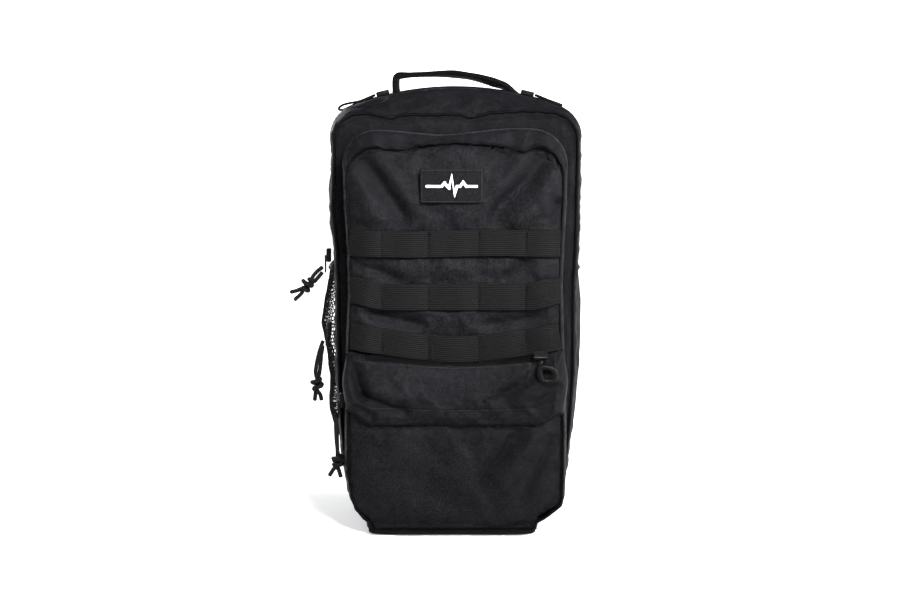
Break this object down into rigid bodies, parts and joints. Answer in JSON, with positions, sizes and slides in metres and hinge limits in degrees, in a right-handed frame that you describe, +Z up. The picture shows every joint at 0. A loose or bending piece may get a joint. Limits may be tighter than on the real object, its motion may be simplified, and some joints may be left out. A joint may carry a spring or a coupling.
{
  "type": "trauma backpack",
  "caption": "Upright black tactical medical backpack with a clamshell main compartment, zipped front and lower pockets, webbing rows, side pockets, handle and shoulder straps.",
  "frame": {"origin": "middle of the box around the pack without its cord pulls, on the surface it stands on", "axes": "+Z up, -Y towards the pack's front, +Y towards the wearer's back, +X to the right as one looks at the front"},
  "size_m": [0.2907, 0.188, 0.444],
  "materials": {
    "oxford": "black coated oxford nylon with a faint blue-violet sheen",
    "webbing": "ribbed black nylon webbing",
    "mesh": "open black knitted mesh",
    "zip": "black coil zip on woven tape",
    "slider": "black painted zinc",
    "cord": "braided black nylon cord",
    "plastic": "matt black acetal",
    "label": "black woven label with a plain light mark",
    "padding": "black air mesh over foam",
    "elastic": "black woven elastic"
  },
  "bodies": {
    "pack_back": {"back_panel": "padding", "rear_shell": "oxford", "frame_sheet": "plastic", "organiser_panel": "oxford", "elastic_row_1": "elastic", "elastic_row_2": "elastic", "elastic_row_3": "elastic", "base_panel": "oxford", "main_zip_rear_tape": "zip", "sleeve_zip_tape": "zip", "mesh_side_pocket": "mesh", "cloth_side_pocket": "oxford", "strap_yoke": "oxford", "strap_anchor_left": "oxford", "strap_anchor_right": "oxford", "strap_webbing_left": "webbing", "strap_webbing_right": "webbing", "handle_anchor_left": "webbing", "handle_anchor_right": "webbing"},
    "front_half": {"front_shell": "oxford", "main_zip_front_tape": "zip", "pocket_gusset": "oxford", "pocket_base": "oxford", "pocket_zip_rear_tape": "zip", "inner_mesh_pocket": "mesh"},
    "pocket_front": {"pocket_panel": "oxford", "pocket_zip_front_tape": "zip", "webbing_row_1": "webbing", "webbing_row_2": "webbing", "webbing_row_3": "webbing", "label_patch": "label", "lower_pocket": "oxford", "lower_zip_tape": "zip", "hem_tab": "webbing"},
    "handle": {"grab_handle": "webbing"},
    "strap_left": {"shoulder_strap_left": "padding"},
    "strap_right": {"shoulder_strap_right": "padding"},
    "lock_left": {"ladder_lock_left": "plastic", "strap_tail_left": "webbing"},
    "lock_right": {"ladder_lock_right": "plastic", "strap_tail_right": "webbing"},
    "main_upper_slider": {"main_upper_slider": "slider"},
    "main_upper_tab": {"main_upper_tab": "slider", "main_upper_pull": "cord"},
    "main_lower_slider": {"main_lower_slider": "slider"},
    "main_lower_tab": {"main_lower_tab": "slider", "main_lower_pull": "cord"},
    "pocket_slider": {"pocket_slider": "slider"},
    "pocket_tab": {"pocket_tab": "slider", "pocket_pull": "cord"},
    "lower_pocket_slider": {"lower_pocket_slider": "slider"},
    "lower_pocket_tab": {"lower_pocket_tab": "slider"},
    "sleeve_left_slider": {"sleeve_left_slider": "slider", "sleeve_left_loop": "cord"},
    "sleeve_right_slider": {"sleeve_right_slider": "slider", "sleeve_right_loop": "cord"}
  },
  "joints": [
    {"name": "front_half_hinge", "type": "hinge", "parent": "pack_back", "child": "front_half", "pos_m": [0, -0.0393, 0.0033], "axis": [1, 0, 0], "range_deg": [0, 105]},
    {"name": "pocket_hinge", "type": "hinge", "parent": "front_half", "child": "pocket_front", "pos_m": [0, -0.0739, 0.006], "axis": [1, 0, 0], "range_deg": [0, 80]},
    {"name": "handle_hinge", "type": "hinge", "parent": "pack_back", "child": "handle", "pos_m": [0, 0.056, 0.41619], "axis": [1, 0, 0], "range_deg": [-42, 42]},
    {"name": "strap_left_hinge", "type": "hinge", "parent": "pack_back", "child": "strap_left", "pos_m": [0, 0.0857, 0.393], "axis": [1, 0, 0], "range_deg": [0, 35]},
    {"name": "strap_right_hinge", "type": "hinge", "parent": "pack_back", "child": "strap_right", "pos_m": [0, 0.0857, 0.393], "axis": [1, 0, 0], "range_deg": [0, 35]},
    {"name": "lock_left_tilt", "type": "hinge", "parent": "strap_left", "child": "lock_left", "pos_m": [-0.0795, 0.0885, 0.157], "axis": [1, 0, 0], "range_deg": [0, 30]},
    {"name": "lock_right_tilt", "type": "hinge", "parent": "strap_right", "child": "lock_right", "pos_m": [0.0795, 0.0885, 0.157], "axis": [1, 0, 0], "range_deg": [0, 30]},
    {"name": "main_upper_slide", "type": "slide", "parent": "pack_back", "child": "main_upper_slider", "axis": [0, 0, 1], "range_m": [0, 0.1]},
    {"name": "main_upper_tab_hinge", "type": "hinge", "parent": "main_upper_slider", "child": "main_upper_tab", "pos_m": [-0.1258, -0.006, 0.262], "axis": [0, 1, 0], "range_deg": [0, 120]},
    {"name": "main_lower_slide", "type": "slide", "parent": "pack_back", "child": "main_lower_slider", "axis": [0, 0, 1], "range_m": [-0.075, 0]},
    {"name": "main_lower_tab_hinge", "type": "hinge", "parent": "main_lower_slider", "child": "main_lower_tab", "pos_m": [-0.1258, -0.006, 0.19], "axis": [0, 1, 0], "range_deg": [0, 90]},
    {"name": "pocket_slide", "type": "slide", "parent": "front_half", "child": "pocket_slider", "axis": [0, 0, 1], "range_m": [-0.03, 0.2]},
    {"name": "pocket_tab_hinge", "type": "hinge", "parent": "pocket_slider", "child": "pocket_tab", "pos_m": [-0.1113, -0.0567, 0.128], "axis": [0, 1, 0], "range_deg": [0, 90]},
    {"name": "lower_pocket_slide", "type": "slide", "parent": "pocket_front", "child": "lower_pocket_slider", "axis": [1, 0, 0], "range_m": [-0.15, 0.003]},
    {"name": "lower_pocket_tab_hinge", "type": "hinge", "parent": "lower_pocket_slider", "child": "lower_pocket_tab", "pos_m": [0.08, -0.0933, 0.166], "axis": [-1, 0, 0], "range_deg": [0, 120]},
    {"name": "sleeve_left_slide", "type": "slide", "parent": "pack_back", "child": "sleeve_left_slider", "axis": [-0.972, 0, -0.2348], "range_m": [-0.03, 0.012]},
    {"name": "sleeve_right_slide", "type": "slide", "parent": "pack_back", "child": "sleeve_right_slider", "axis": [0.972, 0, -0.2348], "range_m": [-0.03, 0.012]}
  ]
}
